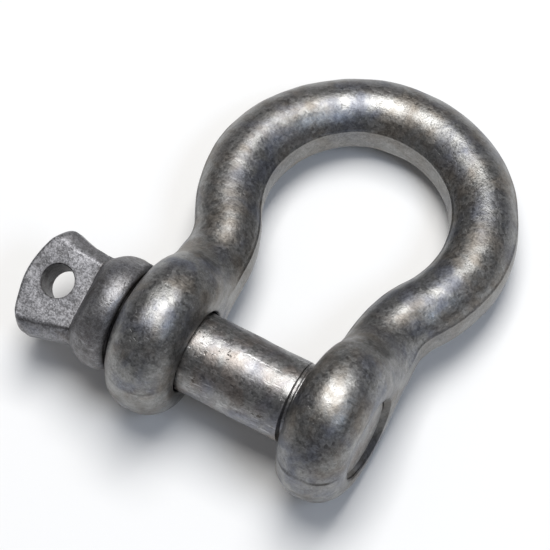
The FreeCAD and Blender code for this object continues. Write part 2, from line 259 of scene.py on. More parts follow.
def finish_piece(piece, node, body, material, masks):
    """Stores the masks on the piece's vertices, smooths it but for its sharp edges, gives it its
    material and sets it on its body in place of its node."""
    mesh = piece.data
    for name, values in masks.items():
        attribute = mesh.attributes.new(name, "FLOAT", "POINT")
        attribute.data.foreach_set("value", np.asarray(values, np.float32))
    mesh.shade_smooth()
    mesh.set_sharp_from_angle(angle=math.radians(38))
    mesh.materials.clear()
    mesh.materials.append(material)
    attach(piece, body)
    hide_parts(node)


# ---------------------------------------------------------------- bow
def ear_reach(y, z):
    """Half the ear's width along the pin at a place in its own plane. With d the distance in from the
    outline, it is h - r + sqrt(r^2 - (r - d)^2) up to d = r, and h beyond. The outline is the rim's
    circle, then the neck's concave arc, then the bar, drawn out a little towards the crown, and h and r
    go from the ear's to the bar's."""
    z = np.abs(z)
    share = smooth(NECK_START, NECK_Y * EAR_STRETCH, y)
    y = np.where(y > 0, y / EAR_STRETCH, y)
    rim = EAR_RADIUS - EAR_TRIM * smooth(*TRIM_FADE, y) - np.hypot(y, z)
    neck = np.hypot(y - NECK_Y, z - NECK_Z) - NECK_ROUND
    d = np.where(z * NECK_Y > y * NECK_Z, rim, np.where(y < NECK_Y, neck, BAR_RADIUS - z))
    half = EAR_HALF + (BAR_RADIUS - EAR_HALF) * share
    rounding = EAR_ROUND + (BAR_RADIUS - EAR_ROUND) * share
    inside = np.clip(rounding - d, 0, rounding)
    reach = half - rounding + np.sqrt(rounding ** 2 - inside ** 2)
    fall_outside = 50 * d
    return np.where(d < 0, half - rounding + fall_outside, reach)


def bow_path():
    """Half the centre line from the end of an ear to the top of the crown: places, tangents and the
    length along it, from the pin's axis to the end of the bend. Rows close up towards the end of the
    ear as a cosine does."""
    end_rows, limb_rows, bend_rows, crown_rows = 44, 44, 24, 128
    low = (EAR_TRIM - EAR_RADIUS) * np.cos(np.linspace(0.03, math.pi / 2, end_rows))
    limb = np.concatenate([low, np.linspace(0.5, BEND_Y, limb_rows)])
    bend = np.linspace(0, BEND_TURN, bend_rows)[1:]
    crown = np.linspace(BEND_TURN, -math.pi / 2, crown_rows)[1:-1]
    place = np.concatenate([
        np.stack([np.full_like(limb, EAR_MIDDLE), limb], -1),
        np.stack([BEND_X - SHOULDER_BEND * np.cos(bend), BEND_Y + SHOULDER_BEND * np.sin(bend)], -1),
        np.stack([CROWN_RADIUS * np.cos(crown), CROWN_CENTRE - CROWN_RADIUS * np.sin(crown)], -1),
    ])
    heading = np.concatenate([np.zeros_like(limb), bend, crown])
    along = np.concatenate([limb, BEND_Y + SHOULDER_BEND * bend])
    return place, np.stack([np.sin(heading), np.cos(heading)], -1), along


def column_angles():
    """Angles round the bar, at a density of 1 plus a bell curve at each edge of the flash lands."""
    columns, extra, width = 148, 2.2, 0.1
    fine = np.linspace(0, 2 * math.pi, 20001)
    edge = math.asin(LAND_HALF / BAR_RADIUS)
    density = np.ones_like(fine)
    for centre in (edge, math.pi - edge, math.pi + edge, 2 * math.pi - edge):
        density += extra * np.exp(-((fine - centre) / width) ** 2)
    total = np.concatenate([[0], np.cumsum((density[1:] + density[:-1]) / 2)])
    return np.interp(np.arange(columns) / columns * total[-1], total, fine)


def land_share(points, normals):
    """How much of a flash land there is: all round the crown and the bends, fading out down the limbs
    and over the flat faces of the ears, and back again on the rim of the ears."""
    limb = smooth(*LIMB_FADE, points[..., 1])
    rim = smooth(*RIM_FADE, points[..., 1]) * (1 - smooth(0.86, 0.97, np.abs(normals[..., 0])))
    return np.maximum(limb, 0.45 * rim)


def land_height(z):
    """The land's height over the round bar: a ridge at each edge and a flat between them."""
    ridge = LAND_RIDGE * np.exp(-((np.abs(z) - LAND_HALF) / 0.4) ** 2)
    return ridge - LAND_FLAT * np.clip(1 - (z / LAND_HALF) ** 2, 0, 1)


def make_bow_skin():
    """The bow's skin: at each place along its centre line the section's radius r(angle). On the limb and
    in the bend it is where the ray meets ear_reach, found by halving, and from there on it is the bar's."""
    place, tangent, along = bow_path()
    angle = column_angles()
    cosine, sine = np.abs(np.cos(angle)), np.abs(np.sin(angle))
    halvings, search_reach = 46, 30.0
    near = np.zeros((len(along), len(angle)))
    far = np.full_like(near, search_reach)
    for _ in range(halvings):
        middle = (near + far) / 2
        outside = middle * cosine > ear_reach(along[:, None], middle * sine)
        near, far = np.where(outside, near, middle), np.where(outside, middle, far)
    radius = np.full((len(place), len(angle)), BAR_RADIUS)
    radius[:len(along)] = (near + far) / 2

    place = np.concatenate([place, place[::-1] * [-1, 1]])
    tangent = np.concatenate([tangent, tangent[::-1] * [1, -1]])
    radius = np.concatenate([radius, radius[::-1]])
    outward = np.stack([tangent[:, 1], -tangent[:, 0]], -1)
    across = (radius * np.cos(angle))[..., None] * outward[:, None, :]
    grid = np.concatenate([place[:, None, :] + across, (radius * np.sin(angle))[..., None]], -1)

    normals = grid_normals(grid)
    centre = np.concatenate([place, np.zeros((len(place), 1))], -1)[:, None, :]
    if np.mean(np.sum(normals * (grid - centre), -1)) < 0:
        normals = -normals
    height = land_height(grid[..., 2]) * land_share(grid, normals)
    height += unevenness(grid, seed=11, waves=(34, 27, 21, 17, 13, 11, 9, 7.5, 6, 5), height=0.42)
    flat = smooth(0.93, 0.99, np.abs(normals[..., 0])) * (1 - smooth(12.0, 20.0, grid[..., 1]))
    height *= 1 - 0.8 * flat
    grid = grid + normals * (height - FORGED_SINK)[..., None]
    return skin("bow_forging", np.clip(lie_down(grid), BOW_LOW + INSIDE, BOW_HIGH - INSIDE))


def bore_tool(name, side, radius_at):
    """A closed cutter along the pin's axis through one ear. Its radius is a function of the distance
    from the nearer face of the ear, of the place along the pin and of the angle round it."""
    rows, columns, mouth = 98, 120, 1.0
    inset = np.concatenate([[-0.5, -0.25, 0.0], np.geomspace(0.06, mouth, 14)])
    inner = np.linspace(mouth + 0.1, 2 * EAR_HALF - mouth - 0.1, rows)
    depth = np.concatenate([inset, inner, 2 * EAR_HALF - inset[::-1]])
    x = side * (JAW + depth)
    angle = np.linspace(0, 2 * math.pi, columns, endpoint=False)
    to_face = np.minimum(depth, 2 * EAR_HALF - depth)[:, None]
    radius = radius_at(to_face, x[:, None], angle[None, :])
    place = np.broadcast_to(x[:, None], radius.shape)
    grid = np.stack([place, radius * np.cos(angle), radius * np.sin(angle)], -1)
    return skin(name, lie_down(grid))


def mouth_opening(depth, rounding, shortfall):
    """How much wider a hole with a rounded mouth is at a depth d below the face: m - sqrt(m^2 - i^2), where
    i is m - d less a shortfall, so that the arc meets the face at a slope."""
    inside = np.clip(rounding - depth - shortfall, 0, rounding)
    return rounding - np.sqrt(rounding ** 2 - inside ** 2)


def plain_bore(to_face, x, angle):
    """A plain hole with rounded mouths, the same all round."""
    opening = mouth_opening(np.maximum(to_face, 0), BORE_ROUND, 0.1)
    return PIN_RADIUS + BORE_PLAY + opening + 0 * angle


def helix_distance(x, angle, start):
    """Distance along the axis from the nearest turn of a right-handed helix through start, and that
    turn's number from the start, in turns."""
    turns = (x - start) / PITCH - angle / (2 * math.pi)
    nearest = np.round(turns)
    return np.abs(turns - nearest) * PITCH, nearest + angle / (2 * math.pi)


def tapped_bore(to_face, x, angle):
    """A tapped hole: the thread's minor radius, a V groove along a helix, and a 45 degree mouth."""
    distance, _ = helix_distance(x, angle, THREAD_START - PITCH / 2)
    thread = PIN_RADIUS - THREAD_DEPTH + THREAD_PLAY
    thread = thread + np.clip((TAP_HALF - distance) / FLANK, 0, THREAD_DEPTH)
    mouth = PIN_RADIUS + THREAD_PLAY + TAP_MOUTH - np.maximum(to_face, 0)
    return np.maximum(thread, mouth)


# ---------------------------------------------------------------- pin
def tab_section(half, thick, bevel):
    """The tab's outline across the pin's axis, a quarter at a time: side, bevel, face. The bevel lies
    between a flat chamfer and a quarter circle, a third of the way. Gives places v + i n round it."""
    side = np.linspace(0, 1, 10, endpoint=False)
    turn = np.linspace(0, 1, 14, endpoint=False)
    face = np.linspace(0, 1, 20, endpoint=False)
    arc_v = (np.cos(turn * math.pi / 2) + 2 * (1 - turn)) / 3
    arc_n = (np.sin(turn * math.pi / 2) + 2 * turn) / 3
    v = np.concatenate([np.full_like(side, half), half - bevel + bevel * arc_v, (half - bevel) * (1 - face)])
    n = np.concatenate([(thick - bevel) * side, thick - bevel + bevel * arc_n, np.full_like(face, thick)])
    quarter = v + 1j * n
    half_turn = np.concatenate([quarter, [1j * thick], -np.conj(quarter[:0:-1])])
    return np.concatenate([half_turn, -half_turn])


def tab_rows():
    """The tab from the middle of its end to its root. A row at a distance d in from the end lies at
    x = end + d + sag(v), sag being the end arc's, fading out towards the root, and its section is drawn
    in near the end by the roundings of the outline and of the edge."""
    rows = []
    corner_rows, side_rows, cap_rows = 16, 26, 18
    length = TAB_STEP - 0.5 - TAB_END
    depth = np.concatenate([
        0.98 * TAB_CORNER * (1 - np.cos(np.linspace(0, math.pi / 2, corner_rows))),
        np.linspace(TAB_CORNER, length, side_rows),
    ])
    for d in depth:
        in_plan = TAB_CORNER - math.sqrt(max(TAB_CORNER ** 2 - max(TAB_CORNER - d, 0) ** 2, 0))
        in_edge = TAB_EDGE - math.sqrt(max(TAB_EDGE ** 2 - max(TAB_EDGE - d, 0) ** 2, 0))
        fade = 1 - float(smooth(3.0, length, d))
        share = min((d + TAB_END_SAG * (fade - 1)) / (length - TAB_END_SAG), 1)
        half = TAB_END_HALF + (TAB_ROOT_HALF - TAB_END_HALF) * share - in_plan
        section = tab_section(half, TAB_HALF - in_edge, TAB_BEVEL - 0.8 * in_edge)
        v = section.real + TAB_SHIFT * float(smooth(length + 2, length - 8, d))
        sag = TAB_END_RADIUS - np.sqrt(TAB_END_RADIUS ** 2 - section.real ** 2)
        x = TAB_END + TAB_INSET + d + sag * fade
        rows.append(np.stack([x, v, section.imag], -1))
    outer = rows[0]
    caps = []
    for share in np.sin(np.linspace(0.04, math.pi / 2, cap_rows))[:-1]:
        v = TAB_SHIFT + (outer[:, 1] - TAB_SHIFT) * share
        sag = TAB_END_RADIUS - np.sqrt(TAB_END_RADIUS ** 2 - (v - TAB_SHIFT) ** 2)
        caps.append(np.stack([TAB_END + TAB_INSET + sag, v, outer[:, 2] * share], -1))
    return caps + rows


def collar_radius(x):
    """The bead's profile: an ellipse that rises from its foot at the step to its crest, and another that
    falls a little to its face."""
    back = np.clip((COLLAR_CREST - x) / BEAD_LENGTH, 0, 1)
    front = np.clip((x - COLLAR_CREST) / (COLLAR_FACE - COLLAR_CREST), 0, 1)
    rise = BEAD_FOOT + (COLLAR_RADIUS - BEAD_FOOT) * np.sqrt(1 - back ** 2)
    return np.where(x < TAB_STEP, 0.0, rise - COLLAR_EDGE * (1 - np.sqrt(1 - front ** 2)))


def neck_rows(angle):
    """From the step at the end of the flats over the collar's bead, as radii at the same angles: the
    larger, softly, of the tab's section and of the bead, whose sides are cut by two faces that rise from
    the flats as a parabola."""
    x = np.concatenate([
        np.arange(TAB_STEP - 0.4, TAB_STEP + 1.2, 0.1),
        COLLAR_CREST - (BEAD_LENGTH - 1.3) * np.cos(np.linspace(0, math.pi / 2, 40)),
        COLLAR_FACE - (COLLAR_FACE - COLLAR_CREST) * (1 - np.sin(np.linspace(0, math.pi / 2, 20)[1:])),
    ])
    section = tab_section(TAB_ROOT_HALF, TAB_HALF, TAB_BEVEL)
    around = np.angle(section) % (2 * math.pi)
    order = np.argsort(around)
    tab = np.interp(angle, around[order], np.abs(section)[order], period=2 * math.pi)
    rows = []
    for place in x:
        share = np.clip((COLLAR_CREST - place) / BEAD_LENGTH, 0, 1)
        face = (TAB_HALF + FACE_RISE * (1 - share ** 2)) / np.maximum(np.abs(np.sin(angle)), 0.05)
        bead = -soft_max(-collar_radius(np.array(place)), -face, 1.2)
        radius = soft_max(tab, bead, 0.7)
        if place > COLLAR_BACK:
            radius = bead + (radius - bead) * (1 - smooth(COLLAR_BACK, COLLAR_CREST - 1.0, place))
        here = np.full_like(angle, place)
        rows.append(np.stack([here, radius * np.cos(angle), radius * np.sin(angle)], -1))
    return rows


def turned_rows(x, radius, angle):
    """Rows of a turned surface, from places along the axis and a radius for each, or for each angle too."""
    radius = np.broadcast_to(np.reshape(radius, (len(x), -1)), (len(x), len(angle)))
    return list(np.stack([np.broadcast_to(np.reshape(x, (-1, 1)), radius.shape),
                          radius * np.cos(angle), radius * np.sin(angle)], -1))


def thread_radius(x, angle):
    """The pin's radius less a V groove along a helix, and less the chamfer of the pin's end. The groove
    starts shallow, and so narrow, and reaches its full depth within its first turn."""
    distance, turn = helix_distance(x, angle, THREAD_START)
    lift = THREAD_DEPTH * (1 - smooth(-0.10, 0.80, turn))
    groove = np.clip(np.minimum((CREST_GROOVE - distance) / FLANK, THREAD_DEPTH) - lift, 0, THREAD_DEPTH)
    return np.minimum(SHANK_RADIUS - groove, PIN_RADIUS - PIN_CHAMFER + (PIN_HIGH[0] - x))


def pin_rows():
    """Tab, neck and collar, ring seat, shank, thread and end face, as rows of the same number of places
    round the pin's axis at angles from the tab's plane, and how many of the rows are the head's. The
    thread's own angles are from the bow's plane."""
    tab = tab_rows()
    angle = np.unwrap(np.arctan2(tab[-1][:, 2], tab[-1][:, 1]))
    neck = neck_rows(angle)
    seat = turned_rows(
        np.array([COLLAR_FACE, SEAT_FLOOR, SEAT_FLOOR]),
        np.array([SEAT_RADIUS, SEAT_RADIUS, PIN_RADIUS]), angle)
    shank_x = np.linspace(SEAT_FLOOR, SHANK_END, 60)[1:]
    shank = turned_rows(shank_x, np.full_like(shank_x, SHANK_RADIUS), angle)
    thread_x = np.linspace(SHANK_END + 0.1, PIN_FACE, 200)
    from_bow = (angle + TAB_ANGLE) % (2 * math.pi)
    turns = thread_radius(thread_x[:, None], from_bow[None, :])
    thread = turned_rows(thread_x, turns, angle)
    inward = np.linspace(0.97, 0.04, 8)
    face = turned_rows(np.full_like(inward, PIN_FACE), turns[-1][None, :] * inward[:, None], angle)
    return np.array(tab + neck + seat + shank + thread + face), len(tab) + len(neck)


def make_pin_skin():
    """The pin's skin: its rows, moved along their normals where the head is rough and the shank is worn.
    Then the head is moved off the axis, and all of it is turned by the tab's angle."""
    grid, head_rows = pin_rows()
    x = grid[..., 0]
    on_head = (np.arange(len(grid)) < head_rows)[:, None]
    normals = grid_normals(grid)
    if np.mean(np.sum(normals * grid * [0, 1, 1], -1)) < 0:
        normals = -normals
    rough_part = on_head * smooth(COLLAR_FACE - 0.5, COLLAR_FACE - 3.0, x)
    height = rough_part * unevenness(grid, seed=23, waves=(15, 11, 9, 7, 5.5, 4.3, 3.4), height=0.24)
    shank_part = smooth(SEAT_FLOOR + 0.5, SEAT_FLOOR + 4, x)
    shank_part = shank_part * smooth(THREAD_START - 0.9, THREAD_START - 2.5, x)
    worn = unevenness(grid, seed=31, waves=(16, 12, 9, 6.5, 5, 4), height=0.16)
    height += shank_part * (worn - PIN_SINK)
    grid = grid + normals * (height - PIN_SINK * rough_part)[..., None]
    shift = HEAD_SHIFT * on_head * smooth(COLLAR_FACE - 0.3, COLLAR_FACE - 2.5, x)
    v, n = grid[..., 1] + shift, grid[..., 2].copy()
    c, s = math.cos(TAB_ANGLE), math.sin(TAB_ANGLE)
    grid[..., 1], grid[..., 2] = v * c - n * s, v * s + n * c
    return skin("pin_forging", np.clip(lie_down(grid), BOX_LOW + INSIDE, BOX_HIGH - INSIDE))


def eye_tool():
    """A closed cutter across the tab: the eye's radius, with a rounded mouth at both faces."""
    outside = TAB_HALF + np.array([0.4, 2.0])
    reach = np.concatenate([-outside[::-1], np.linspace(-TAB_HALF, TAB_HALF, 60), outside])
    radius = EYE_RADIUS - ZINC_IN_EYE + mouth_opening(TAB_HALF - np.abs(reach), EYE_ROUND, 0.08)
    turn = np.linspace(0, 2 * math.pi, 112, endpoint=False)
    along, across = radius[:, None] * np.cos(turn), radius[:, None] * np.sin(turn)
    c, s = math.cos(TAB_ANGLE), math.sin(TAB_ANGLE)
    n = np.broadcast_to(reach[:, None], along.shape)
    grid = np.stack([EYE_X + along, across * c - n * s, across * s + n * c], -1)
    return skin("eye_tool", lie_down(grid))


# ---------------------------------------------------------------- zinc finish
class Nodes:
    """Places nodes in a tree and joins them."""

    def __init__(self, tree):
        self.tree = tree

    def add(self, kind, inputs=None, **settings):
        node = self.tree.nodes.new(kind)
        for key, value in settings.items():
            setattr(node, key, value)
        for key, value in (inputs or {}).items():
            if isinstance(value, bpy.types.NodeSocket):
                self.tree.links.new(value, node.inputs[key])
            else:
                node.inputs[key].default_value = value
        return node

    def math(self, operation, a, b=0.0, clamp=False):
        return self.add("ShaderNodeMath", {0: a, 1: b}, operation=operation, use_clamp=clamp).outputs[0]

    def mix(self, share, a, b, blend="MIX"):
        inputs = {0: share, 6: a, 7: b}                # a colour mix's factor and its two colours
        return self.add("ShaderNodeMix", inputs, data_type="RGBA", blend_type=blend).outputs[2]

    def steps(self, value, low, high):
        node = self.add("ShaderNodeMapRange", {0: value, 1: low, 2: high}, interpolation_type="SMOOTHSTEP")
        return node.outputs[0]

    def noise(self, vector, scale, detail=2.0, distortion=0.0, roughness=0.5):
        return self.add("ShaderNodeTexNoise", {
            "Vector": vector, "Scale": scale, "Detail": detail,
            "Distortion": distortion, "Roughness": roughness}).outputs["Fac"]

    def attribute(self, name):
        return self.add("ShaderNodeAttribute", attribute_name=name).outputs["Fac"]


def new_group(name, inputs, outputs):
    """A shader node group with the named inputs and outputs."""
    group = bpy.data.node_groups.new(name, "ShaderNodeTree")
    for label, kind, value in inputs:
        socket = group.interface.new_socket(label, in_out="INPUT", socket_type=kind)
        if value is not None:
            socket.default_value = value
    for label, kind in outputs:
        group.interface.new_socket(label, in_out="OUTPUT", socket_type=kind)
    nodes = Nodes(group)
    return group, nodes, nodes.add("NodeGroupInput").outputs, nodes.add("NodeGroupOutput").inputs


def zinc_group():
    """Zinc coating: crystals and fine grain, cloudy light and dark zinc, warm and cool tarnish."""
    group, n, given, out = new_group("zinc_coating", [
        ("Vector", "NodeSocketVector", None),
        ("Zinc", "NodeSocketColor", (0.4, 0.4, 0.4, 1)),
        ("Warm", "NodeSocketColor", (0.3, 0.25, 0.2, 1)),
        ("Cool", "NodeSocketColor", (0.3, 0.3, 0.4, 1)),
        ("Tarnish", "NodeSocketFloat", 0.5),
        ("Speckle", "NodeSocketFloat", 0.3),
        ("Smooth", "NodeSocketFloat", 0.3),
        ("Rough", "NodeSocketFloat", 0.5),
    ], [("Color", "NodeSocketColor"), ("Roughness", "NodeSocketFloat"), ("Height", "NodeSocketFloat")])
    place = given["Vector"]
    cloud = n.noise(place, 230, detail=4, distortion=0.4)
    patches = n.noise(place, 75, detail=3, distortion=0.6)
    grain = n.noise(place, 1900, detail=3, roughness=0.65)
    crystals = n.add("ShaderNodeTexVoronoi", {"Vector": place, "Scale": 1150.0})
    crystal = n.add("ShaderNodeSeparateColor", {0: crystals.outputs["Color"]}).outputs[0]
    tint = n.mix(n.steps(patches, 0.40, 0.62), given["Warm"], given["Cool"])
    colour = n.mix(n.math("MULTIPLY", n.steps(cloud, 0.32, 0.66), given["Tarnish"]), given["Zinc"], tint)
    spread = n.math("ADD", n.math("MULTIPLY", crystal, 0.45), n.math("MULTIPLY", grain, 1.5))
    mean_spread = 0.45 * 0.5 + 1.5 * 0.5
    from_mean = n.math("SUBTRACT", spread, mean_spread)
    level = n.math("ADD", 1.0, n.math("MULTIPLY", from_mean, given["Speckle"]))
    grey = n.add("ShaderNodeCombineColor", {0: level, 1: level, 2: level}).outputs[0]
    n.tree.links.new(n.mix(1.0, colour, grey, "MULTIPLY"), out["Color"])
    mottled = n.math("ADD", n.math("MULTIPLY", cloud, 0.6), n.math("MULTIPLY", spread, 0.35))
    rough = n.add("ShaderNodeMapRange", {
        0: mottled, 1: 0.46, 2: 0.82, 3: given["Smooth"], 4: given["Rough"]})
    n.tree.links.new(rough.outputs[0], out["Roughness"])
    swell = n.math("MULTIPLY", cloud, 0.55)
    height = n.math("ADD", swell, n.math("MULTIPLY", spread, 0.22))
    n.tree.links.new(height, out["Height"])
    return group


def wear_group():
    """Dirt and handling marks: dark stains, pits, and scratches that run along one direction."""
    group, n, given, out = new_group("handling_wear", [
        ("Vector", "NodeSocketVector", None),
        ("Along", "NodeSocketVector", None),
        ("Color", "NodeSocketColor", (0.4, 0.4, 0.4, 1)),
        ("Roughness", "NodeSocketFloat", 0.4),
        ("Height", "NodeSocketFloat", 0.5),
        ("Stain", "NodeSocketFloat", 0.5),
        ("Stain Color", "NodeSocketColor", (0.08, 0.07, 0.06, 1)),
        ("Pits", "NodeSocketFloat", 0.5),
        ("Scratches", "NodeSocketFloat", 0.5),
    ], [("Color", "NodeSocketColor"), ("Roughness", "NodeSocketFloat"), ("Height", "NodeSocketFloat")])
    stain = n.noise(given["Vector"], 140, detail=5, distortion=0.8, roughness=0.6)
    stain = n.math("MULTIPLY", n.steps(stain, 0.48, 0.80), given["Stain"], True)
    where = n.steps(n.noise(given["Vector"], 160), 0.44, 0.62)
    pit = n.noise(given["Vector"], 900, detail=3, distortion=0.4, roughness=0.6)
    pit = n.math("MULTIPLY", n.steps(pit, 0.60, 0.68), where)
    pit = n.math("MULTIPLY", pit, given["Pits"], True)
    line = n.noise(given["Along"], 1.0, distortion=0.2)
    scratch = n.math("MULTIPLY", n.steps(line, 0.60, 0.70), given["Scratches"], True)
    dark = n.math("MAXIMUM", stain, n.math("MULTIPLY", pit, 0.8), True)
    colour = n.mix(dark, given["Color"], given["Stain Color"])
    colour = n.mix(n.math("MULTIPLY", scratch, 0.35), colour, (0.75, 0.75, 0.76, 1))
    n.tree.links.new(colour, out["Color"])
    rough = n.math("ADD", given["Roughness"], n.math("MULTIPLY", dark, 0.18))
    rough = n.math("SUBTRACT", rough, n.math("MULTIPLY", scratch, 0.08), True)
    n.tree.links.new(rough, out["Roughness"])
    height = n.math("SUBTRACT", given["Height"], n.math("MULTIPLY", pit, 0.5))
    height = n.math("SUBTRACT", height, n.math("MULTIPLY", scratch, 0.08))
    n.tree.links.new(height, out["Height"])
    return group


ZINC = zinc_group()
WEAR = wear_group()


def galvanised(name, zinc, warm, cool, tarnish, speckle, rough, stain, pits, scratches, bump, dull=None,
               shade_mask=None, dull_zinc=None, dull_rough=0.6, grain_contrast=1.0, handled=None):
    """Galvanised steel: zinc coating and handling wear. The dull mask turns it into thick matt zinc, the
    shade mask darkens the colour of bores, creases and other hollows as painted shade, and the handled mask
    keeps pits and scratches to one part. rough is (smoothest, roughest), and bump is the height of the
    relief in millimetres."""
    material = bpy.data.materials.new(name)
    material.use_nodes = True
    material.node_tree.nodes.clear()
    n = Nodes(material.node_tree)
    place = n.add("ShaderNodeTexCoord").outputs["Object"]
    along = n.add("ShaderNodeMapping", {"Vector": place, "Scale": (260, 2100, 2100)}).outputs[0]
    coat = n.add("ShaderNodeGroup", {
        "Vector": place, "Zinc": (*zinc, 1), "Warm": (*warm, 1), "Cool": (*cool, 1), "Tarnish": tarnish,
        "Speckle": speckle, "Smooth": rough[0], "Rough": rough[1]}, node_tree=ZINC)
    colour, roughness, height = (coat.outputs[key] for key in ("Color", "Roughness", "Height"))
    if dull:
        mask = n.attribute(dull)
        fine = n.noise(place, 2600, roughness=0.6)
        coarse = n.noise(place, 1000, detail=3, distortion=0.5, roughness=0.6)
        grain = n.math("MULTIPLY", n.math("ADD", fine, coarse), 0.5)
        levels = 1 - 0.42 * grain_contrast, 1 + 0.55 * grain_contrast
        dark_grain, light_grain = ((*[c * level for c in dull_zinc], 1) for level in levels)
        thick = n.mix(n.steps(grain, 0.38, 0.62), dark_grain, light_grain)
        colour = n.mix(mask, colour, thick)
        rougher = n.math("SUBTRACT", dull_rough, roughness)
        roughness = n.math("ADD", roughness, n.math("MULTIPLY", mask, rougher))
        height = n.math("ADD", height, n.math("MULTIPLY", mask, n.math("MULTIPLY", grain, 0.8)))
    if shade_mask:
        # painted shade: the shade mask also strengthens the dark stains in the hollows
        stain = n.math("ADD", stain, n.attribute(shade_mask))
    if handled:
        here = n.attribute(handled)
        pits = n.math("MULTIPLY", here, pits)
        scratches = n.math("MULTIPLY", here, scratches)
    wear = n.add("ShaderNodeGroup", {
        "Vector": place, "Along": along, "Color": colour, "Roughness": roughness, "Height": height,
        "Stain": stain, "Pits": pits, "Scratches": scratches}, node_tree=WEAR)
    colour = wear.outputs["Color"]
    if shade_mask:
        # painted shade: the shade mask darkens hollows towards near black (0.035, 0.032, 0.03)
        colour = n.mix(n.math("MULTIPLY", n.attribute(shade_mask), 0.75), colour, (0.035, 0.032, 0.03, 1))
    relief = n.add("ShaderNodeBump", {
        "Strength": 1.0, "Distance": bump * MM, "Height": wear.outputs["Height"]})
    shader = n.add("ShaderNodeBsdfPrincipled", {
        "Base Color": colour, "Roughness": wear.outputs["Roughness"],
        "Normal": relief.outputs[0], "Metallic": 1.0})
    output = n.add("ShaderNodeOutputMaterial")
    n.tree.links.new(shader.outputs[0], output.inputs[0])
    return material


# ---------------------------------------------------------------- masks
def bow_masks(spot):
    """Masks at places in the bow's own plane. land: the trimmed flash, more matt on the limbs than on the
    ears. The shade mask: painted shade in the bores, and in a crease along each edge of the land, which
    wanders and breaks up, and is darkest on the rim of the tapped ear."""
    x, y, z = spot.T
    from_axis = np.hypot(y, z)
    on_limb = smooth(*LIMB_FADE, y)
    on_rim = smooth(*RIM_FADE, y) * smooth(EAR_RADIUS - 6.0, EAR_RADIUS - 2.0, from_axis)
    side = np.maximum(on_limb, on_rim)
    land = side * (1 - smooth(LAND_HALF - 0.3, LAND_HALF + 0.2, np.abs(z)))
    matt = 0.5 - 0.35 * smooth(14.0, 0.0, y)
    # painted shade: darker inside the bores
    in_bore = 1 - smooth(PIN_RADIUS + 0.2, PIN_RADIUS + 1.6, from_axis)
    wander = 0.4 * unevenness(spot, seed=41, waves=(17, 11, 7), height=1.0)
    broken = unevenness(spot, seed=43, waves=(12, 8, 5, 3), height=1.0)
    # painted shade: a dark line along each edge of the land, as shade in the step there
    crease = side * np.exp(-((np.abs(z - wander) - LAND_HALF - 0.35) / 0.3) ** 2)
    crease *= np.clip(0.5 + 1.1 * broken + 0.5 * on_rim, 0, 1.6)
    darkness = 0.3 + 0.45 * on_rim * (x > 0)
    return {"land": matt * land, "crevice": np.maximum(0.75 * in_bore, darkness * crease)}


def pin_masks(spot):
    """Masks at places in the bow's own plane. shank: where pits and scratches are, less on the collar.
    flats: matt zinc on the tab's faces, less on the rest of the head. The shade mask: painted shade in the
    eye, at the foot of the collar, in its seat, in the thread's roots and in a line along one edge of the
    tab, and a little darker tone over the whole collar."""
    x, y, z = spot.T
    c, s = math.cos(TAB_ANGLE), math.sin(TAB_ANGLE)
    width = y * c + z * s
    thickness = z * c - y * s
    radius = np.hypot(y, z)
    on_head = 1 - smooth(COLLAR_FACE - 0.6, COLLAR_FACE, x)
    on_tab = 1 - smooth(TAB_STEP - 0.4, TAB_STEP + 0.6, x)
    on_collar = smooth(TAB_STEP, TAB_STEP + 1.5, x) * on_head
    flats = np.maximum(on_tab * smooth(TAB_HALF - 1.2, TAB_HALF - 0.3, np.abs(thickness)), 0.6 * on_head)
    handled = np.maximum(smooth(COLLAR_FACE, COLLAR_FACE + 2, x), 0.7 * on_collar)

    out = np.clip((TAB_STEP - x) / (TAB_STEP - TAB_END - TAB_END_SAG), 0, 1)
    half = TAB_ROOT_HALF + (TAB_END_HALF - TAB_ROOT_HALF) * out
    middle = HEAD_SHIFT + TAB_SHIFT * smooth(0.0, 0.7, out)
    to_edge = width - middle + half - TAB_BEVEL
    # painted shade: a dark line along one edge of the tab
    edge_line = (x < TAB_STEP + 0.3) * np.exp(-(to_edge / 0.3) ** 2) * (thickness > 0)
    in_eye = 1 - smooth(EYE_RADIUS - 0.1, EYE_RADIUS + 0.5, np.hypot(x - EYE_X, width))
    foot = smooth(TAB_STEP - 0.3, TAB_STEP + 0.5, x) * (1 - smooth(TAB_STEP + 1.0, COLLAR_CREST - 1.0, x))
    in_seat = smooth(COLLAR_FACE - 0.15, COLLAR_FACE, x) * (1 - smooth(-EAR_BACK + 0.2, -JAW - 1.0, x))
    roots = smooth(THREAD_START - 1.7, THREAD_START - 1.1, x)
    roots *= smooth(PIN_RADIUS - 0.2, PIN_RADIUS - 1.2, radius)
    roots *= 1 - smooth(PIN_HIGH[0] - 1.4, PIN_HIGH[0] - 1.0, x)
    # painted shade in the eye, at the collar's foot, in the seat, in the thread's roots and along the tab's
    # edge; on_collar darkens the collar's own tone a little
    shade_mask = 0.6 * in_eye + 0.25 * foot + 0.8 * in_seat + 0.45 * roots + 0.9 * edge_line + 0.28 * on_collar
    return {"shank": handled, "flats": flats, "crevice": np.clip(shade_mask, 0, 1)}


